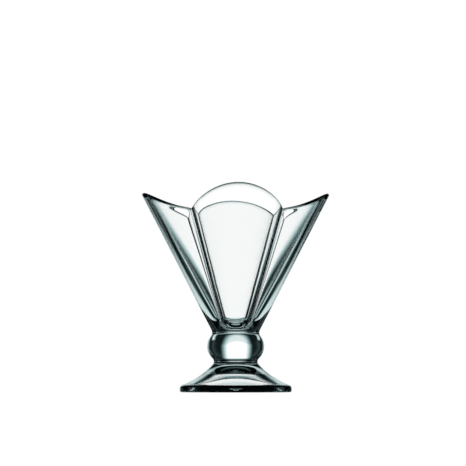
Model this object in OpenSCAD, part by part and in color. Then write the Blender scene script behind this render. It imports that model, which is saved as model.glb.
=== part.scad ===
// Parfait glass in clear pressed glass: a bowl of four fluted petals, on a round knop and a flared foot.
// The three pieces meet at flat fused faces in the middle of the two necks. Nothing on it moves.
// Lengths are in millimetres and angles in degrees. +Z is up. The origin is the centre of the foot's base.

/* [Foot] */
// Diameter of the foot
foot_d = 74; // [64:0.5:90]
// Height of the foot, up to its joint with the knop
foot_h = 20.2; // [17:0.1:26]
// Height of the foot's outer edge
foot_edge_h = 5; // [4:0.1:6.5]
// Radius of the rounded top of the outer edge
foot_edge_r = 2.5; // [1.5:0.1:3]
// Radius of the rounded bottom of the outer edge
foot_base_r = 1.1; // [0.4:0.1:1.4]
// Angle from the vertical at which the flare leaves the neck
flare_angle = 42; // [36:1:48]
// Thickness of the flare, between its outside and the hollow under the foot
foot_wall = 7; // [6:0.1:10]
// Depth of the hollow under the foot
hollow_depth = 13.2; // [9:0.1:16]
// Radius of the rounded edge between the hollow and the ring that the foot rests on
hollow_edge_r = 0.8; // [0.5:0.1:3]

/* [Knop] */
// Diameter of the knop at its widest
knop_d = 37.8; // [34:0.1:44]
// Radius of the knop's rounded side, seen in profile
knop_side_r = 10.7; // [9:0.1:13]
// Diameter of the neck between the foot and the knop
lower_neck_d = 29; // [25:0.1:32]
// Radius of the groove round the lower neck
lower_groove_r = 2.7; // [1.5:0.1:4]
// Diameter of the neck between the knop and the bowl
upper_neck_d = 31.4; // [27:0.1:34]
// Radius of the groove round the upper neck
upper_groove_r = 4; // [2:0.1:6]

/* [Bowl] */
// Width of the bowl across opposite petal tips
bowl_w = 125; // [100:0.5:150]
// Height of the petal tips above the table
tip_h = 132; // [115:0.5:160]
// Drop of the rim from a petal tip to a crease
dip = 11.5; // [4:0.5:16]
// Distance across the bowl at the rim, from a crease to the opposite crease
crease_span = 81.7; // [72:0.1:86]
// Width by which a petal swells past each of its creases outside, at the rim
petal_swell = 0.3; // [0.2:0.1:2]
// Width by which a petal swells past each of its ridges inside, at the rim
ridge_swell = 1.8; // [0.4:0.1:3]
// Half the width over which a crease is softened outside, at the rim
crease_soft = 2.9; // [0.4:0.1:3]
// Half the width over which a ridge is softened inside, at the rim
ridge_soft = 2.9; // [0.4:0.1:4]
// Thickness of the wall at the petal tips
rim_wall = 2.4; // [2:0.1:5]
// Thickness of the wall at the sides of the petals, at the rim
side_wall = 2.5; // [1.6:0.1:4.5]
// Thickness of the wall round the floor of the cavity
base_wall = 7.3; // [5:0.1:11]
// Thickness of the solid glass between the cavity and the joint with the knop
floor_t = 4; // [2.5:0.1:12]
// Radius of the flat in the middle of the cavity's floor
floor_flat_r = 2; // [0.5:0.1:4]
// Height over which the round neck turns into petals
petal_run = 9.5; // [4:0.5:14]

/* [Fineness] */
// Steps along half of a petal, from its middle to its crease
petal_steps = 16; // [8:1:20]
// Steps over the height where the neck turns into petals
run_steps = 8; // [4:1:10]
// Steps over the rounded lip of the rim
lip_steps = 6; // [4:1:8]
// Largest gap between an arc and the straight steps that make it
arc_gap = 0.03; // [0.02:0.01:0.1]

/* [Hidden] */

$fn = 96;
GLASS = [0.84, 0.92, 0.91];
PETALS = 4;
HALF_PETAL = 180 / PETALS;

function mix(a, b, t) = a + (b - a) * t;
function smooth(t) = let (c = min(max(t, 0), 1)) c * c * (3 - 2 * c);
function polar(r, a) = r * [cos(a), sin(a)];
function angle_of(v) = atan2(v[1], v[0]);

// Points on the arc of radius r about c, from angle a to angle b
function arc(c, r, a, b) =
    let (n = ceil(abs(b - a) / (2 * acos(1 - arc_gap / r))))
    [for (i = [0 : n]) c + polar(r, mix(a, b, i / n))];

// Both grooves and the side of the knop are arcs that touch, so each height follows from the one below it.
knop_ring = knop_d / 2 - knop_side_r;
lower_x = lower_neck_d / 2 + lower_groove_r;
upper_x = upper_neck_d / 2 + upper_groove_r;
knop_z = foot_h + sqrt(pow(knop_side_r + lower_groove_r, 2) - pow(lower_x - knop_ring, 2));
joint_z = knop_z + sqrt(pow(knop_side_r + upper_groove_r, 2) - pow(upper_x - knop_ring, 2));
knop_c = [knop_ring, knop_z];
lower_c = [lower_x, foot_h];
upper_c = [upper_x, joint_z];

// The flare of the foot is an arc from the lower groove to the rounded top of the outer edge.
edge_c = [foot_d / 2 - foot_edge_r, foot_edge_h - foot_edge_r];
flare_way = polar(1, flare_angle);
flare_top = lower_c - lower_groove_r * flare_way;
edge_way = edge_c - flare_top;
flare_r = (edge_way * edge_way - pow(foot_edge_r, 2)) / (2 * (foot_edge_r + flare_way * edge_way));
flare_c = flare_top + flare_r * flare_way;

// The hollow under the foot is a bell. Its side runs parallel to the flare, and touches a round dome at the top
// and the rounded edge at the bottom.
bell_r = flare_r + foot_wall;
dome_way = [0, hollow_depth] - flare_c;
dome_r = (dome_way * dome_way - pow(bell_r, 2)) / (2 * (bell_r + dome_way[1]));
dome_c = [0, hollow_depth - dome_r];
hollow_edge_x = flare_c[0] - sqrt(pow(bell_r - hollow_edge_r, 2) - pow(flare_c[1] - hollow_edge_r, 2));
hollow_edge_c = [hollow_edge_x, hollow_edge_r];

// Outside, the middle of a petal is a straight line that touches the lip and the upper groove.
lip_r = rim_wall / 2;
lip_c = [bowl_w / 2 - lip_r, tip_h - lip_r];
outer_way = lip_c - upper_c;
outer_lean = 90 - angle_of(outer_way) + asin((upper_groove_r + lip_r) / norm(outer_way));
groove_top = upper_c + upper_groove_r * [-cos(outer_lean), sin(outer_lean)];
apex_z = groove_top[1] - groove_top[0] / tan(outer_lean);

// Inside, it is a straight line that touches the lip and leaves base_wall at the level of the floor.
floor_z = joint_z + floor_t;
floor_rim = (floor_z - apex_z) * tan(outer_lean) - base_wall;
inner_way = lip_c - [floor_rim, floor_z];
inner_lean = 90 - angle_of(inner_way) - asin(lip_r / norm(inner_way));
floor_r = (floor_rim - floor_flat_r) / (1 / cos(inner_lean) - tan(inner_lean));
floor_c = [floor_flat_r, floor_z + floor_r];

// Radius of the outside and of the cavity in the middle of a petal, at height z
function outer_r(z) = z < groove_top[1]
    ? upper_x - sqrt(pow(upper_groove_r, 2) - pow(z - joint_z, 2))
    : (z - apex_z) * tan(outer_lean);
function inner_r(z) = floor_rim + (z - floor_z) * tan(inner_lean);

// In plan a petal is part of an ellipse that reaches radius 1 at its tip and k at its creases. It is b wide
// to each side of its middle, and its creases are softened over the angle s. This is its radius at angle m.
function petal_plan(k, b, s, m) =
    let (w = sqrt(1 - pow(k * sin(HALF_PETAL) / b, 2)))
    let (c = (k * cos(HALF_PETAL) + w) / (1 + w))
    let (a = 1 - c)
    let (t = HALF_PETAL - norm([HALF_PETAL - abs(m), s]))
    let (p = pow(cos(t) / a, 2) + pow(sin(t) / b, 2))
    let (h = c * cos(t) / (a * a))
    (h + sqrt(h * h - p * (pow(c / a, 2) - 1))) / p;
function arc_angle(length, r) = length / r * 180 / PI;

dip_z = tip_h - dip;
crease = crease_span / 2;
outer_half = crease * sin(HALF_PETAL) + petal_swell;
inner_half = outer_half - side_wall;
ridge = (inner_half - ridge_swell) / sin(HALF_PETAL);
outer_dip = outer_r(dip_z);
inner_dip = inner_r(dip_z);
function outer_plan(m) =
    petal_plan(crease / outer_dip, outer_half / outer_dip, arc_angle(crease_soft, crease), m);
function inner_plan(m) =
    petal_plan(ridge / inner_dip, inner_half / inner_dip, arc_angle(ridge_soft, ridge), m);

// Each petal's rim is one round arch, from crease to crease. This is its height at angle m.
arch_half = crease * sin(HALF_PETAL);
arch_r = (pow(arch_half, 2) + pow(dip, 2)) / (2 * dip);
function rim_z(m) =
    let (q = 1 + pow(tan(outer_lean) * outer_plan(m) * sin(m), 2))
    let (b = apex_z - tip_h + arch_r)
    apex_z + (sqrt(b * b - q * (b * b - arch_r * arch_r)) - b) / q;

// The bowl's section at angle m, as [radius, height]: up the outside, over the lip and down the cavity
function outside(m, z) = [outer_r(z) * mix(1, outer_plan(m), smooth((z - joint_z) / petal_run)), z];
function inside(m, p) = [p[0] * inner_plan(m), p[1]];
function bowl_section(m) =
    let (lean = atan(tan(outer_lean) * outer_plan(m)))
    let (out_end = outside(m, rim_z(m) - lip_r * (1 + sin(lean))))
    let (in_z = rim_z(m) - lip_r * (1 - sin(lean)))
    let (in_end = inside(m, [inner_r(in_z), in_z]))
    let (lip = [for (i = [1 : lip_steps - 1]) 180 * i / lip_steps])
    concat(
        [for (i = [0 : run_steps]) outside(m, joint_z + petal_run * i / run_steps)],
        [out_end],
        [for (a = lip) mix(in_end, out_end, (1 + cos(a)) / 2) + lip_r * sin(a) * [sin(lean), cos(lean)]],
        [in_end],
        [for (p = arc(floor_c, floor_r, -inner_lean, -90)) inside(m, p)]
    );

module foot() {
    bell_top = angle_of(dome_c - flare_c);
    bell_end = angle_of(hollow_edge_c - flare_c);
    color(GLASS)
        rotate_extrude()
            polygon(concat(
                arc(dome_c, dome_r, 90, 180 + bell_top),
                arc(flare_c, bell_r, bell_top, bell_end),
                arc(hollow_edge_c, hollow_edge_r, bell_end, -90),
                arc([foot_d / 2 - foot_base_r, foot_base_r], foot_base_r, -90, 0),
                arc(edge_c, foot_edge_r, 0, angle_of(flare_c - edge_c)),
                arc(flare_c, flare_r, 180 + angle_of(flare_c - edge_c), 180 + flare_angle),
                arc(lower_c, lower_groove_r, 180 + flare_angle, 180),
                [[0, foot_h]]
            ));
}

module knop() {
    low = angle_of(lower_c - knop_c);
    high = angle_of(upper_c - knop_c);
    color(GLASS)
        rotate_extrude()
            polygon(concat(
                [[0, foot_h]],
                arc(lower_c, lower_groove_r, 180, 180 + low),
                arc(knop_c, knop_side_r, low, high),
                arc(upper_c, upper_groove_r, 180 + high, 180),
                [[0, joint_z]]
            ));
}

module bowl() {
    // Steps crowd towards the creases, where the outline turns.
    turns = [for (p = [0 : PETALS - 1], j = [-petal_steps : petal_steps - 1])
        [2 * HALF_PETAL * p, HALF_PETAL * sin(90 * j / petal_steps)]];
    sections = [for (t = turns) [for (p = bowl_section(t[1])) [each polar(p[0], t[0] + t[1]), p[1]]]];
    n = len(sections);
    rows = len(sections[0]);
    quads = [for (j = [0 : n - 1], i = [0 : rows - 2])
        let (a = j * rows + i, b = (j + 1) % n * rows + i) [a, a + 1, b + 1, b]];
    sides = [for (q = quads, t = [[0, 1, 2], [0, 2, 3]]) [q[t[0]], q[t[1]], q[t[2]]]];
    joint_face = [for (j = [0 : n - 1]) j * rows];
    floor_face = [for (j = [n - 1 : -1 : 0]) j * rows + rows - 1];
    color(GLASS)
        polyhedron([for (s = sections) each s], concat(sides, [joint_face, floor_face]), convexity = 8);
}

foot();
knop();
bowl();
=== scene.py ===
"""Parfait glass in clear pressed glass: a bowl of four fluted petals, on a round knop and a flared foot."""

from math import asin, atan2, cos, hypot, pi, radians, sin, sqrt, tan

import bpy
import numpy as np
from bpy.props import FloatProperty, FloatVectorProperty, PointerProperty
from bpy.types import Operator, Panel, PropertyGroup
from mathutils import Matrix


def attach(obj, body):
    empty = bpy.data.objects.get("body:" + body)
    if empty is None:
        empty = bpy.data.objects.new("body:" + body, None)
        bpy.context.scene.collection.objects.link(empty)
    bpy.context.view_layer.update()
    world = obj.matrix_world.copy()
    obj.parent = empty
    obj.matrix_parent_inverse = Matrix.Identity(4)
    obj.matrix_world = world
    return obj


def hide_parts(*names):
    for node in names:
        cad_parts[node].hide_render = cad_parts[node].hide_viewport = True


bl_info = {
    "name": "Parfait glass",
    "version": (1, 0, 0),
    "blender": (4, 5, 0),
    "location": "3D View > Sidebar > Parfait",
    "description": "Builds a pressed parfait glass of foot, knop and petal bowl, and a bright studio round it",
    "category": "Add Mesh",
}

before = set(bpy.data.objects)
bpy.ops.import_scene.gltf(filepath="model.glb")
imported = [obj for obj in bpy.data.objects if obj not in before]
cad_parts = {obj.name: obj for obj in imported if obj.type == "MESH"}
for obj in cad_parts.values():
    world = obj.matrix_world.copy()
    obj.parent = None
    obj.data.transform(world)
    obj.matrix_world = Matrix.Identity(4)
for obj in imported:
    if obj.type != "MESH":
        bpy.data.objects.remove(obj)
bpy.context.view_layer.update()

MM = 0.001
PETALS = 4
HALF_PETAL = pi / PETALS
SENSOR_WIDTH = 36

# Steps along the arcs of the two revolved outlines, and round a full turn
DOME_STEPS, BELL_STEPS, HOLLOW_EDGE_STEPS, RING_STEPS = 32, 32, 12, 5
BASE_STEPS, EDGE_STEPS, FLARE_STEPS = 12, 20, 48
GROOVE_STEPS, SIDE_STEPS, TURN_STEPS = 18, 64, 288


def length(name, description, millimetres):
    """A length property, given in millimetres and held in metres."""
    return FloatProperty(name=name, description=description, default=millimetres * MM, unit="LENGTH", precision=5)


def angle(name, description, degrees):
    """An angle property, given in degrees and held in radians."""
    return FloatProperty(name=name, description=description, default=radians(degrees), subtype="ANGLE")


def share(name, description, value):
    """A plain number."""
    return FloatProperty(name=name, description=description, default=value, precision=4)


def colour(name, description, value):
    """A colour in scene-linear values."""
    return FloatVectorProperty(name=name, description=description, default=value, size=3, subtype="COLOR", min=0, max=1)


class FootSizes(PropertyGroup):
    """Sizes of the flared foot."""
    diameter: length("Diameter", "Diameter of the foot", 74)
    height: length("Height", "Height of the foot, up to its joint with the knop", 20.2)
    edge_height: length("Edge height", "Height of the outer edge", 5)
    edge_radius: length("Edge radius", "Radius of the rounded top of the outer edge", 2.5)
    base_radius: length("Base radius", "Radius of the rounded bottom of the outer edge", 1.1)
    flare: angle("Flare", "Angle from the vertical at which the flare leaves the neck", 42)
    wall: length("Wall", "Thickness of the flare, between its outside and the hollow", 7)
    hollow_depth: length("Hollow depth", "Depth of the hollow under the foot", 13.2)
    hollow_edge: length("Hollow edge", "Radius of the edge between the hollow and the ring", 0.8)


class KnopSizes(PropertyGroup):
    """Sizes of the round knop and of the necks above and below it."""
    diameter: length("Diameter", "Diameter of the knop at its widest", 37.8)
    side_radius: length("Side radius", "Radius of the rounded side, seen in profile", 10.7)
    lower_neck: length("Lower neck", "Diameter of the neck between foot and knop", 29)
    lower_groove: length("Lower groove", "Radius of the groove round the lower neck", 2.7)
    upper_neck: length("Upper neck", "Diameter of the neck between knop and bowl", 31.4)
    upper_groove: length("Upper groove", "Radius of the groove round the upper neck", 4)


class BowlSizes(PropertyGroup):
    """Sizes of the petal bowl."""
    width: length("Width", "Width across opposite petal tips", 125)
    tip_height: length("Tip height", "Height of the petal tips above the table", 132)
    dip: length("Dip", "Drop of the rim from a petal tip to a crease", 11.5)
    crease_span: length("Crease span", "Distance at the rim from a crease to the opposite crease", 81.7)
    petal_swell: length("Petal swell", "Width by which a petal swells past each crease outside", 0.3)
    ridge_swell: length("Ridge swell", "Width by which a petal swells past each ridge inside", 1.8)
    crease_soft: length("Crease softening", "Half the width over which a crease is softened", 2.9)
    ridge_soft: length("Ridge softening", "Half the width over which a ridge is softened", 2.9)
    rim_wall: length("Rim wall", "Thickness of the wall at the petal tips", 2.4)
    side_wall: length("Side wall", "Thickness of the wall at the sides of the petals", 2.5)
    base_wall: length("Base wall", "Thickness of the wall round the floor of the cavity", 7.3)
    floor_thickness: length("Floor", "Solid glass between the cavity and the joint", 4)
    floor_flat: length("Floor flat", "Radius of the flat in the middle of the floor", 2)
    petal_run: length("Petal run", "Height over which the round neck turns into petals", 9.5)


class GlassFinish(PropertyGroup):
    """Colour, painted rim shade and surface of the pressed glass."""
    tint: colour("Tint", "Colour that white light takes on in one wall", (0.981, 0.9945, 0.99))
    # Painted shade along the top of the rim: its dark tone, and the depth below the top over which it fades
    rim_shade_tone: colour("Edge tone", "Colour of the glass on top of the rim, seen along a wall", (0.1, 0.13, 0.13))
    rim_shade_depth: length("Edge depth", "Depth below the top of the rim over which the edge tone fades", 1.2)
    ior: share("Index of refraction", "How strongly the glass bends light", 1.52)
    ripple_width: length("Ripple width", "Width of the faint ripples that pressing leaves", 14)
    ripple_height: length("Ripple height", "Height of those ripples", 0.05)
    scuff: share("Scuffing", "Roughness of the ring that the glass rests on", 0.16)
    scuff_height: length("Scuff height", "Height up to which the ring is scuffed", 0.35)
    scuff_start: share("Scuff start", "Level of the scratch pattern at which scuffing begins", 0.42)
    scuff_full: share("Scuff full", "Level of the scratch pattern at which scuffing is full", 0.6)


class StudioSettings(PropertyGroup):
    """Light panels, floor and camera."""
    panel_width: angle("Panel width", "Half the angle that a light panel spans round the glass", 18.5)
    panel_below: angle("Panel below", "Angle below the table's level down to which a panel reaches", 9)
    panel_soft: angle("Panel softness", "Half the angle over which a panel fades at its edge", 7)
    panel_top: angle("Panel top", "Angle above the table's level from which a panel fades upwards", 17)
    panel_fade: angle("Panel fade", "Angle over which a panel fades upwards", 10)
    ceiling_light: share("Ceiling light", "Brightness of a panel above that", 0.1)
    skirt_light: share("Skirt light", "Brightness of the dim skirt that hangs from a panel", 0.8)
    skirt_width: angle("Skirt width", "Half the angle that a skirt spans round the glass", 18)
    skirt_below: angle("Skirt below", "Angle below the table's level down to which a skirt reaches", 20)
    skirt_soft: angle("Skirt softness", "Half the angle over which a skirt fades at its edge", 6)
    panel_light: share("Panel light", "Brightness of a panel, level with the glass", 1.13)
    sheen: share("Sheen", "Share of the front panels' light that the faces of the glass throw back", 0.05)
    glance: share("Glance", "Share of the rear panels' light that the faces of the glass throw back", 0.76)
    glance_start: share("Glance start", "How far a direction points to the rear where the glance begins", -0.2)
    glance_full: share("Glance full", "How far a direction points to the rear where the glance is full", 0.5)
    front_fill: share("Front fill", "Brightness of the studio in front of the glass and beside it", 0.85)
    fill_start: share("Fill start", "How far a direction points to the rear where the front fill begins", 0.55)
    fill_full: share("Fill full", "How far a direction points to the rear where the front fill is full", 0.25)
    corner_light: share("Corner light", "Brightness of the low lights in the corners between the panels", 0.85)
    corner_start: angle("Corner start", "Angle from the middle of a panel at which a corner light begins", 36)
    corner_full: angle("Corner full", "Angle from the middle of a panel at which a corner light is full", 44)
    corner_top: angle("Corner top", "Angle below the table's level at which a corner light ends", 8)
    corner_fade: angle("Corner fade", "Angle over which a corner light fades upwards", 4)
    table_light: share("Table light", "Brightness of the table, seen straight through the glass", 0.65)
    table_start: angle("Table start", "Angle below the table's level at which the table begins to shine", 23)
    table_full: angle("Table full", "Angle below the table's level at which the table is full", 34)
    pale_tone: colour("Pale tone", "Colour of a panel where it is a quarter faded", (0.61, 0.725, 0.725))
    mid_tone: colour("Mid tone", "Colour of a panel where it is half faded", (0.33, 0.455, 0.465))
    deep_tone: colour("Deep tone", "Colour of a panel where it is three quarters faded", (0.13, 0.205, 0.21))
    gap: colour("Gap", "Colour of the dark studio between the panels", (0.0035, 0.0065, 0.0075))
    backdrop: colour("Backdrop", "Colour of the floor and of what lies behind the glass", (1, 1, 1))
    contact: share("Contact shadow", "Depth of the soft shadow under the foot", 0.25)
    contact_tone: colour("Contact tone", "Colour of that shadow at its deepest", (0.55, 0.62, 0.63))
    contact_reach: length("Contact reach", "Width of the soft shadow under the foot", 30)
    floor_reach: length("Floor reach", "Distance from the axis to a side of the floor", 12000)
    camera_turn: angle("Camera turn", "Angle of the camera round the glass", -1.84)
    camera_distance: length("Camera distance", "Distance of the camera from the axis", 1040)
    camera_height: length("Camera height", "Height of the camera above the table", 6)
    camera_tilt: angle("Camera tilt", "Angle by which the camera looks up", 5.468)
    camera_pan: angle("Camera pan", "Angle by which the camera looks to the side", 0.098)
    lens: share("Lens", "Focal length of the camera, in millimetres on a 36 mm sensor", 121.12)


class ParfaitSettings(PropertyGroup):
    """All settings of the glass and its studio."""
    foot: PointerProperty(type=FootSizes)
    knop: PointerProperty(type=KnopSizes)
    bowl: PointerProperty(type=BowlSizes)
    finish: PointerProperty(type=GlassFinish)
    studio: PointerProperty(type=StudioSettings)


def bearing(way):
    """Angle of a direction [out, up] from the horizontal."""
    return atan2(way[1], way[0])


def arc(centre, radius, start, end, steps):
    """Points at equal angles on a circle, as rows of [distance from the axis, height]."""
    turn = np.linspace(start, end, steps + 1)
    return np.asarray(centre) + radius * np.stack([np.cos(turn), np.sin(turn)], -1)


def smooth(t):
    """The cubic 3t^2 - 2t^3 that runs level from 0 to 1."""
    t = np.clip(t, 0, 1)
    return t * t * (3 - 2 * t)


def stem_centres(foot, knop):
    """Centres of the lower groove, the knop's side and the upper groove, whose circles touch in turn.

    Two touching circles lie as far apart as the sum of their radii, which gives each height from the one below.
    """
    ring = knop.diameter / 2 - knop.side_radius
    lower = knop.lower_neck / 2 + knop.lower_groove
    upper = knop.upper_neck / 2 + knop.upper_groove
    middle = foot.height + sqrt((knop.side_radius + knop.lower_groove) ** 2 - (lower - ring) ** 2)
    joint = middle + sqrt((knop.side_radius + knop.upper_groove) ** 2 - (upper - ring) ** 2)
    return np.array([[lower, foot.height], [ring, middle], [upper, joint]])


def foot_outline(foot, knop):
    """Outline from the top of the hollow, over the resting ring and the edge, and up the flare to the joint.

    The flare is the circle that leaves the lower groove at the flare angle and touches the rounded top of the outer
    edge. The hollow runs parallel to it, one wall further in, up to a dome about the axis that touches it, and down
    to a rounded edge that touches it and the table.
    """
    lower = stem_centres(foot, knop)[0]
    base = np.array([foot.diameter / 2 - foot.base_radius, foot.base_radius])
    edge = np.array([foot.diameter / 2 - foot.edge_radius, foot.edge_height - foot.edge_radius])
    way = np.array([cos(foot.flare), sin(foot.flare)])
    reach = edge - (lower - knop.lower_groove * way)
    flare_radius = (reach @ reach - foot.edge_radius ** 2) / (2 * (foot.edge_radius + way @ reach))
    flare = lower - knop.lower_groove * way + flare_radius * way
    touch = bearing(flare - edge)
    bell_radius = flare_radius + foot.wall
    top = np.array([0, foot.hollow_depth]) - flare
    dome_radius = (top @ top - bell_radius ** 2) / (2 * (bell_radius + top[1]))
    dome = np.array([0, foot.hollow_depth - dome_radius])
    inner = bell_radius - foot.hollow_edge
    drop = flare[1] - foot.hollow_edge
    hollow_edge = np.array([flare[0] - sqrt(inner ** 2 - drop ** 2), foot.hollow_edge])
    bell_start, bell_end = bearing(dome - flare), bearing(hollow_edge - flare)
    ring = np.linspace([hollow_edge[0], 0], [base[0], 0], RING_STEPS + 1)[1:-1]
    return np.concatenate([
        arc(dome, dome_radius, pi / 2, bell_start + pi, DOME_STEPS)[1:],
        arc(flare, bell_radius, bell_start, bell_end, BELL_STEPS)[1:],
        arc(hollow_edge, foot.hollow_edge, bell_end, -pi / 2, HOLLOW_EDGE_STEPS)[1:],
        ring,
        arc(base, foot.base_radius, -pi / 2, 0, BASE_STEPS),
        arc(edge, foot.edge_radius, 0, touch, EDGE_STEPS),
        arc(flare, flare_radius, touch - pi, foot.flare - pi, FLARE_STEPS)[1:],
        arc(lower, knop.lower_groove, pi + foot.flare, pi, GROOVE_STEPS)[1:],
    ])


def knop_outline(foot, knop):
    """Outline from the lower joint to the upper one: half a groove, the rounded side and half a groove."""
    lower, middle, upper = stem_centres(foot, knop)
    low, high = bearing(lower - middle), bearing(upper - middle)
    return np.concatenate([
        arc(lower, knop.lower_groove, pi, pi + low, GROOVE_STEPS),
        arc(middle, knop.side_radius, low, high, SIDE_STEPS)[1:],
        arc(upper, knop.upper_groove, pi + high, pi, GROOVE_STEPS)[1:],
    ])


def revolved(outline):
    """The outline turned about the axis: point (i, j) is outline point i at angle j of a full turn."""
    turn = np.arange(TURN_STEPS) * 2 * pi / TURN_STEPS
    out, up = outline[:, :1], outline[:, 1:]
    return np.stack([out * np.cos(turn), out * np.sin(turn), up + 0 * turn], -1)


def petal_plan(crease, half, soft, m):
    """Radius of a petal in plan at angle m from its middle, as a share of the radius at its tip.

    The petal is part of an ellipse that is half wide to each side, reaches 1 at its tip and passes the creases at
    radius crease. The distance of m from the crease is drawn as a hyperbola, which softens the crease over soft.
    """
    w = sqrt(1 - (crease * sin(HALF_PETAL) / half) ** 2)
    centre = (crease * cos(HALF_PETAL) + w) / (1 + w)
    depth = 1 - centre
    t = HALF_PETAL - np.hypot(HALF_PETAL - np.abs(m), soft)
    p = (np.cos(t) / depth) ** 2 + (np.sin(t) / half) ** 2
    h = centre * np.cos(t) / depth ** 2
    return (h + np.sqrt(h * h - p * ((centre / depth) ** 2 - 1))) / p


def bowl_grid(foot, knop, bowl, across=56, run=26, wall=36, lip=16, floor=30):
    """The bowl as rings of points, from the joint up the outside, over the lip and down the cavity to its floor.

    Column j stands at angle m from the middle of its petal, and the columns crowd towards the creases. Outside and
    inside, a ring is the petal's plan times a radius that grows in a straight line with height. The outside turns
    from a round neck into petals over the petal run. The rim of a petal is one circular arch from crease to crease.
    """
    upper = stem_centres(foot, knop)[2]
    joint = upper[1]
    lip_radius = bowl.rim_wall / 2
    tip = np.array([bowl.width / 2 - lip_radius, bowl.tip_height - lip_radius])
    way = tip - upper
    lean = pi / 2 - bearing(way) + asin((knop.upper_groove + lip_radius) / hypot(*way))
    groove_top = upper + knop.upper_groove * np.array([-cos(lean), sin(lean)])
    apex = groove_top[1] - groove_top[0] / tan(lean)

    floor_height = joint + bowl.floor_thickness
    floor_rim = (floor_height - apex) * tan(lean) - bowl.base_wall
    way = tip - np.array([floor_rim, floor_height])
    inner_lean = pi / 2 - bearing(way) - asin(lip_radius / hypot(*way))
    floor_radius = (floor_rim - bowl.floor_flat) / (1 / cos(inner_lean) - tan(inner_lean))
    floor_centre = np.array([bowl.floor_flat, floor_height + floor_radius])

    def outer_radius(z):
        groove = upper[0] - np.sqrt(np.maximum(knop.upper_groove ** 2 - (z - joint) ** 2, 0))
        return np.where(z < groove_top[1], groove, (z - apex) * tan(lean))

    def inner_radius(z):
        return floor_rim + (z - floor_height) * tan(inner_lean)

    m = np.tile(HALF_PETAL * np.sin(pi / 2 * np.arange(-across, across) / across), PETALS)
    turn = np.repeat(np.arange(PETALS) * 2 * HALF_PETAL, 2 * across) + m
    dip_height = bowl.tip_height - bowl.dip
    crease = bowl.crease_span / 2
    outer_half = crease * sin(HALF_PETAL) + bowl.petal_swell
    inner_half = outer_half - bowl.side_wall
    ridge = (inner_half - bowl.ridge_swell) / sin(HALF_PETAL)
    outer_tip, inner_tip = float(outer_radius(dip_height)), float(inner_radius(dip_height))
    outer_plan = petal_plan(crease / outer_tip, outer_half / outer_tip, bowl.crease_soft / crease, m)
    inner_plan = petal_plan(ridge / inner_tip, inner_half / inner_tip, bowl.ridge_soft / ridge, m)

    arch_half = crease * sin(HALF_PETAL)
    arch_radius = (arch_half ** 2 + bowl.dip ** 2) / (2 * bowl.dip)
    q = 1 + (tan(lean) * outer_plan * np.sin(m)) ** 2
    b = apex - bowl.tip_height + arch_radius
    rim = apex + (np.sqrt(b * b - q * (b * b - arch_radius ** 2)) - b) / q

    slope = np.arctan(tan(lean) * outer_plan)
    outer_top = rim - lip_radius * (1 + np.sin(slope))
    inner_top = rim - lip_radius * (1 - np.sin(slope))
    low = joint + bowl.petal_run * np.linspace(0, 1, run + 1)[:, None] + 0 * m
    high = low[-1] + (outer_top - low[-1]) * np.linspace(0, 1, wall + 1)[1:, None]
    z = np.vstack([low, high])
    spread = 1 + (outer_plan - 1) * smooth((z - joint) / bowl.petal_run)
    outside = np.stack([outer_radius(z) * spread, z], -1)

    roll = pi * np.arange(1, lip)[:, None] / lip
    start, end = outside[-1], np.stack([inner_radius(inner_top) * inner_plan, inner_top], -1)
    up = np.stack([np.sin(slope), np.cos(slope)], -1)
    over = end + (start - end) * ((1 + np.cos(roll)) / 2)[..., None] + lip_radius * np.sin(roll)[..., None] * up

    curve = arc(floor_centre, floor_radius, -inner_lean, -pi / 2, floor)
    bottom = curve[:, None, :] * np.stack([inner_plan, np.ones_like(inner_plan)], -1)
    down = np.linspace(0, 1, wall + 1)[:-1, None]
    z = inner_top + (bottom[0, :, 1] - inner_top) * down
    inside = np.stack([inner_radius(z) * inner_plan, z], -1)

    section = np.concatenate([outside, over, inside, bottom])
    return np.stack([section[..., 0] * np.cos(turn), section[..., 0] * np.sin(turn), section[..., 1]], -1)


def rim_shade_mask(rings, depth):
    """How near a point is to the top of the rim, as the mask of the painted rim shade: 1 at the highest point of its
    column, fading to 0 over the depth.
    """
    height = rings[..., 2]
    return smooth(1 - (height.max(0) - height) / depth)


class Wire:
    """A shader value. Arithmetic on it adds Math nodes."""

    def __init__(self, nodes, socket):
        self.nodes, self.socket = nodes, socket

    def math(self, operation, *others):
        return self.nodes.make("ShaderNodeMath", {"operation": operation}, [self, *others])

    def __add__(self, other):
        return self.math("ADD", other)

    __radd__ = __add__

    def __sub__(self, other):
        return self.math("SUBTRACT", other)

    def __rsub__(self, other):
        return self.nodes.make("ShaderNodeMath", {"operation": "SUBTRACT"}, [other, self])

    def __mul__(self, other):
        return self.math("MULTIPLY", other)

    __rmul__ = __mul__

    def __abs__(self):
        return self.math("ABSOLUTE")

    def or_more(self, other):
        return self.math("MAXIMUM", other)

    def at_most(self, other):
        return self.math("MINIMUM", other)


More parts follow.
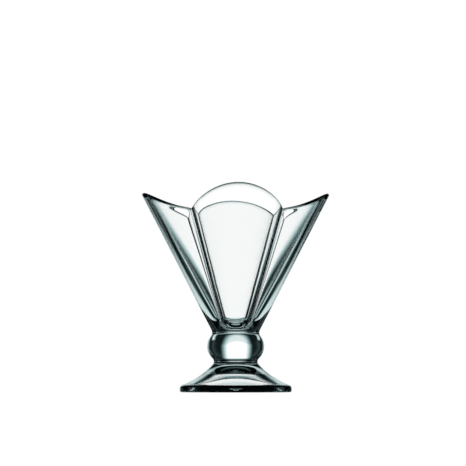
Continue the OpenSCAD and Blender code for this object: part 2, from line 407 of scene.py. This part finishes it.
class Shading:
    """The nodes of a material or of the world, emptied and built up anew."""

    def __init__(self, owner):
        owner.use_nodes = True
        self.tree = owner.node_tree
        self.tree.nodes.clear()

    def make(self, kind, settings=None, inputs=(), output=0):
        """Adds a node: its settings first, then its sockets by place or by name. Gives one of its outputs."""
        node = self.tree.nodes.new(kind)
        for name, value in (settings or {}).items():
            if name == "stops":
                for place, shade in value[:-2]:
                    node.color_ramp.elements.new(place)
                for stop, (place, shade) in zip(node.color_ramp.elements, value):
                    stop.position, stop.color = place, shade
            else:
                setattr(node, name, value)
        for key, value in (inputs.items() if isinstance(inputs, dict) else enumerate(inputs)):
            if isinstance(value, Wire):
                self.tree.links.new(value.socket, node.inputs[key])
            else:
                node.inputs[key].default_value = value
        return Wire(self, node.outputs[output]) if node.outputs else None

    def fade(self, value, start, end):
        """A smooth step from 0 at start to 1 at end."""
        settings = {"interpolation_type": "SMOOTHSTEP"}
        return self.make("ShaderNodeMapRange", settings, {"Value": value, "From Min": start, "From Max": end})

    def blend(self, factor, a, b):
        """Colour a where the factor is 0 and b where it is 1."""
        return self.make("ShaderNodeMix", {"data_type": "RGBA"}, {"Factor": factor, 6: a, 7: b}, 2)


def pressed_glass(finish):
    """Clear soda glass with the faint ripples of pressing, a dark shade painted along the top of the rim, and scuffed
    where it rests.
    """
    material = bpy.data.materials.get("pressed_glass")
    if material:
        return material
    material = bpy.data.materials.new("pressed_glass")
    nodes = Shading(material)
    place = nodes.make("ShaderNodeTexCoord", output="Object")
    height = nodes.make("ShaderNodeSeparateXYZ", inputs=[place], output="Z")
    ripple = nodes.make("ShaderNodeTexNoise", {"noise_dimensions": "3D"},
                        {"Vector": place, "Scale": 1 / finish.ripple_width, "Detail": 1.0, "Roughness": 0.4})
    scratch = nodes.make("ShaderNodeTexNoise", {"noise_dimensions": "3D"},
                         {"Vector": place, "Scale": 1 / MM, "Detail": 3.0, "Roughness": 0.7})
    # Mask of the rim top, which blends a painted dark shade into the Base Color there
    edge = nodes.make("ShaderNodeAttribute", {"attribute_name": "edge"}, output="Fac")
    worn = nodes.fade(height, finish.scuff_height, 0.0) * nodes.fade(scratch, finish.scuff_start, finish.scuff_full)
    normal = nodes.make("ShaderNodeBump", None, {"Strength": 1.0, "Distance": finish.ripple_height, "Height": ripple})
    shader = nodes.make("ShaderNodeBsdfPrincipled", None, {
        "Base Color": nodes.blend(edge, (*finish.tint, 1), (*finish.rim_shade_tone, 1)),
        "Roughness": worn * finish.scuff, "IOR": finish.ior, "Transmission Weight": 1.0, "Normal": normal})
    nodes.make("ShaderNodeOutputMaterial", None, {"Surface": shader})
    return material


def fused_face():
    """A joint that has melted into one glass, so nothing of it shows."""
    material = bpy.data.materials.get("fused_face")
    if material:
        return material
    material = bpy.data.materials.new("fused_face")
    nodes = Shading(material)
    nodes.make("ShaderNodeOutputMaterial", None, {"Surface": nodes.make("ShaderNodeBsdfTransparent")})
    return material


def glass_piece(node, rings, low, high, fused, settings):
    """Makes rings of points into a closed glass piece that stands for a CAD node.

    Neighbouring rings are joined by quads. The first and last ring are closed by a fan to a point on the axis, at
    heights low and high. The fans named in fused are joint faces.
    """
    rows, columns = rings.shape[:2]
    points = np.vstack([rings.reshape(-1, 3), [[0, 0, low], [0, 0, high]]])
    i, j = np.meshgrid(np.arange(rows - 1), np.arange(columns), indexing="ij")
    k = (j + 1) % columns
    quads = np.stack([i * columns + j, i * columns + k, (i + 1) * columns + k, (i + 1) * columns + j], -1)
    j = np.arange(columns)
    k = (j + 1) % columns
    last = (rows - 1) * columns
    fans = [np.stack([k, j, np.full(columns, rows * columns)], -1),
            np.stack([last + j, last + k, np.full(columns, rows * columns + 1)], -1)]
    sides = quads.reshape(-1, 4)
    mesh = bpy.data.meshes.new(node)
    mesh.from_pydata(points, [], sides.tolist() + fans[0].tolist() + fans[1].tolist())
    is_fused = np.repeat([False, "low" in fused, "high" in fused], [len(sides), columns, columns])
    mesh.materials.append(pressed_glass(settings.finish))
    mesh.materials.append(fused_face())
    mesh.polygons.foreach_set("material_index", is_fused.astype(np.int32))
    mesh.polygons.foreach_set("use_smooth", ~is_fused)
    mesh.update()
    piece = bpy.data.objects.new("glass_" + node, mesh)
    bpy.context.scene.collection.objects.link(piece)
    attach(piece, "root")
    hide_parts(node)
    return piece


class PARFAIT_OT_foot(Operator):
    """Make the flared foot with the hollow under it"""
    bl_idname = "parfait.foot"
    bl_label = "Foot"

    def execute(self, context):
        settings = context.scene.parfait
        foot = settings.foot
        rings = revolved(foot_outline(foot, settings.knop))
        glass_piece("foot", rings, foot.hollow_depth, foot.height, ("high",), settings)
        return {"FINISHED"}


class PARFAIT_OT_knop(Operator):
    """Make the round knop between the two necks"""
    bl_idname = "parfait.knop"
    bl_label = "Knop"

    def execute(self, context):
        settings = context.scene.parfait
        outline = knop_outline(settings.foot, settings.knop)
        glass_piece("knop", revolved(outline), outline[0, 1], outline[-1, 1], ("low", "high"), settings)
        return {"FINISHED"}


class PARFAIT_OT_bowl(Operator):
    """Make the bowl of four fluted petals"""
    bl_idname = "parfait.bowl"
    bl_label = "Bowl"

    def execute(self, context):
        settings = context.scene.parfait
        rings = bowl_grid(settings.foot, settings.knop, settings.bowl)
        piece = glass_piece("bowl", rings, rings[0, 0, 2], rings[-1, 0, 2], ("low",), settings)
        # Mask of the dark shade painted along the top of the rim, stored as the point attribute edge
        edge = np.append(rim_shade_mask(rings, settings.finish.rim_shade_depth), [0, 0])
        attribute = piece.data.attributes.new("edge", "FLOAT", "POINT")
        attribute.data.foreach_set("value", edge.astype(np.float32))
        return {"FINISHED"}


def studio_world(studio):
    """A ring of soft light panels, one behind each petal, in a dark studio; the camera itself sees the backdrop.

    A panel is a soft upright strip with a round lower end, which fades out upwards. A dimmer skirt of the same shape
    hangs below it. Low lights stand in the corners between the panels, the studio in front of the glass and beside it
    is filled with light, and the table is pale. Light that a face of the glass has thrown back is dimmed, most of all
    towards the front, so that the dark lines of the glass stay dark. Where the light fades, it takes on the tones of
    the glass.
    """
    world = bpy.data.worlds.new("studio")
    nodes = Shading(world)
    way = nodes.make("ShaderNodeTexCoord", output="Generated")
    x, y, z = (nodes.make("ShaderNodeSeparateXYZ", inputs=[way], output=axis) for axis in "XYZ")
    around = abs(x.math("ARCTAN2", y).math("WRAP", HALF_PETAL, -HALF_PETAL))
    above = z.math("ARCSINE")
    under = above.at_most(0.0)

    def strip(width, below, soft):
        """1 inside an upright strip whose lower end is half an ellipse, fading to 0 at its edge."""
        drop = under * (width / below)
        return nodes.fade((around * around + drop * drop).math("SQRT"), width + soft, width - soft)

    panel = strip(studio.panel_width, studio.panel_below, studio.panel_soft)
    skirt = strip(studio.skirt_width, studio.skirt_below, studio.skirt_soft) * studio.skirt_light
    rise = nodes.fade(above, studio.panel_top, studio.panel_top + studio.panel_fade) * (1 - studio.ceiling_light)
    table = nodes.fade(above, -studio.table_start, -studio.table_full)
    corner = nodes.fade(above, -studio.corner_top, -studio.corner_top - studio.corner_fade) * (1 - table)
    corner *= nodes.fade(around, studio.corner_start, studio.corner_full) * studio.corner_light
    fill = nodes.fade(y, studio.fill_start, studio.fill_full) * studio.front_fill
    light = (panel.or_more(skirt).or_more(fill) * (1 - rise)).or_more(corner)
    thrown = nodes.make("ShaderNodeLightPath", output="Glossy Depth").at_most(1.0)
    kept = studio.sheen + nodes.fade(y, studio.glance_start, studio.glance_full) * (studio.glance - studio.sheen)
    light *= 1 - thrown * (1 - kept)
    light = light.or_more(table * studio.table_light * (1 - thrown))
    tones = [(0, (*studio.gap, 1)), (0.25, (*studio.deep_tone, 1)), (0.5, (*studio.mid_tone, 1)),
             (0.75, (*studio.pale_tone, 1)), (1, (1, 1, 1, 1))]
    tone = nodes.make("ShaderNodeValToRGB", {"stops": tones}, [light])
    seen = nodes.make("ShaderNodeLightPath", output="Is Camera Ray")
    strength = seen + (1 - seen) * studio.panel_light
    shown = nodes.blend(seen, tone, (*studio.backdrop, 1))
    surface = nodes.make("ShaderNodeBackground", None, {"Color": shown, "Strength": strength})
    nodes.make("ShaderNodeOutputWorld", None, {"Surface": surface})
    return world


def studio_floor(studio):
    """A pale floor that the camera sees, with a soft shadow where the foot stands; the glass looks past it."""
    material = bpy.data.materials.new("studio_floor")
    nodes = Shading(material)
    open_sky = nodes.make("ShaderNodeAmbientOcclusion", {"samples": 8}, {"Distance": studio.contact_reach}, "AO")
    shade = nodes.blend((1 - open_sky) * studio.contact, (*studio.backdrop, 1), (*studio.contact_tone, 1))
    pale = nodes.make("ShaderNodeEmission", None, {"Color": shade})
    seen = nodes.make("ShaderNodeLightPath", output="Is Camera Ray")
    surface = nodes.make("ShaderNodeMixShader", None, [seen, nodes.make("ShaderNodeBsdfTransparent"), pale])
    nodes.make("ShaderNodeOutputMaterial", None, {"Surface": surface})
    return material


class PARFAIT_OT_stage(Operator):
    """Make the studio: floor, light panels and camera"""
    bl_idname = "parfait.stage"
    bl_label = "Studio"

    def execute(self, context):
        scene = context.scene
        studio = scene.parfait.studio
        scene.view_settings.view_transform = "Standard"
        scene.cycles.max_bounces = 8
        scene.cycles.transmission_bounces = 8
        scene.cycles.glossy_bounces = 1
        scene.world = studio_world(studio)

        reach = studio.floor_reach
        mesh = bpy.data.meshes.new("studio_floor")
        corners = [(-reach, -reach, 0), (reach, -reach, 0), (reach, reach, 0), (-reach, reach, 0)]
        mesh.from_pydata(corners, [], [(0, 1, 2, 3)])
        mesh.materials.append(studio_floor(studio))
        floor = bpy.data.objects.new("studio_floor", mesh)
        scene.collection.objects.link(floor)

        camera = bpy.data.objects.new("camera", bpy.data.cameras.new("camera"))
        scene.collection.objects.link(camera)
        camera.data.sensor_width = SENSOR_WIDTH
        camera.data.lens = studio.lens
        turn = studio.camera_turn
        camera.location = (sin(turn) * studio.camera_distance, -cos(turn) * studio.camera_distance,
                           studio.camera_height)
        camera.rotation_euler = (pi / 2 + studio.camera_tilt, 0, turn + studio.camera_pan)
        scene.camera = camera
        return {"FINISHED"}


class PARFAIT_PT_sidebar(Panel):
    """Sizes, finish and studio of the glass"""
    bl_idname = "PARFAIT_PT_sidebar"
    bl_label = "Parfait glass"
    bl_space_type = "VIEW_3D"
    bl_region_type = "UI"
    bl_category = "Parfait"

    def draw(self, context):
        settings = context.scene.parfait
        groups = {"foot": ("parfait.foot",), "knop": ("parfait.knop",), "bowl": ("parfait.bowl",), "finish": (),
                  "studio": ("parfait.stage",)}
        for name, operators in groups.items():
            box = self.layout.box()
            box.label(text=name.capitalize())
            group = getattr(settings, name)
            for key in group.__annotations__:
                box.prop(group, key)
            for operator in operators:
                box.operator(operator)


CLASSES = (FootSizes, KnopSizes, BowlSizes, GlassFinish, StudioSettings, ParfaitSettings, PARFAIT_OT_foot,
           PARFAIT_OT_knop, PARFAIT_OT_bowl, PARFAIT_OT_stage, PARFAIT_PT_sidebar)


def register():
    for cls in CLASSES:
        bpy.utils.register_class(cls)
    bpy.types.Scene.parfait = PointerProperty(type=ParfaitSettings)


def unregister():
    del bpy.types.Scene.parfait
    for cls in reversed(CLASSES):
        bpy.utils.unregister_class(cls)


def main():
    register()
    bpy.ops.parfait.foot()
    bpy.ops.parfait.knop()
    bpy.ops.parfait.bowl()
    bpy.ops.parfait.stage()


if __name__ == "__main__":
    main()
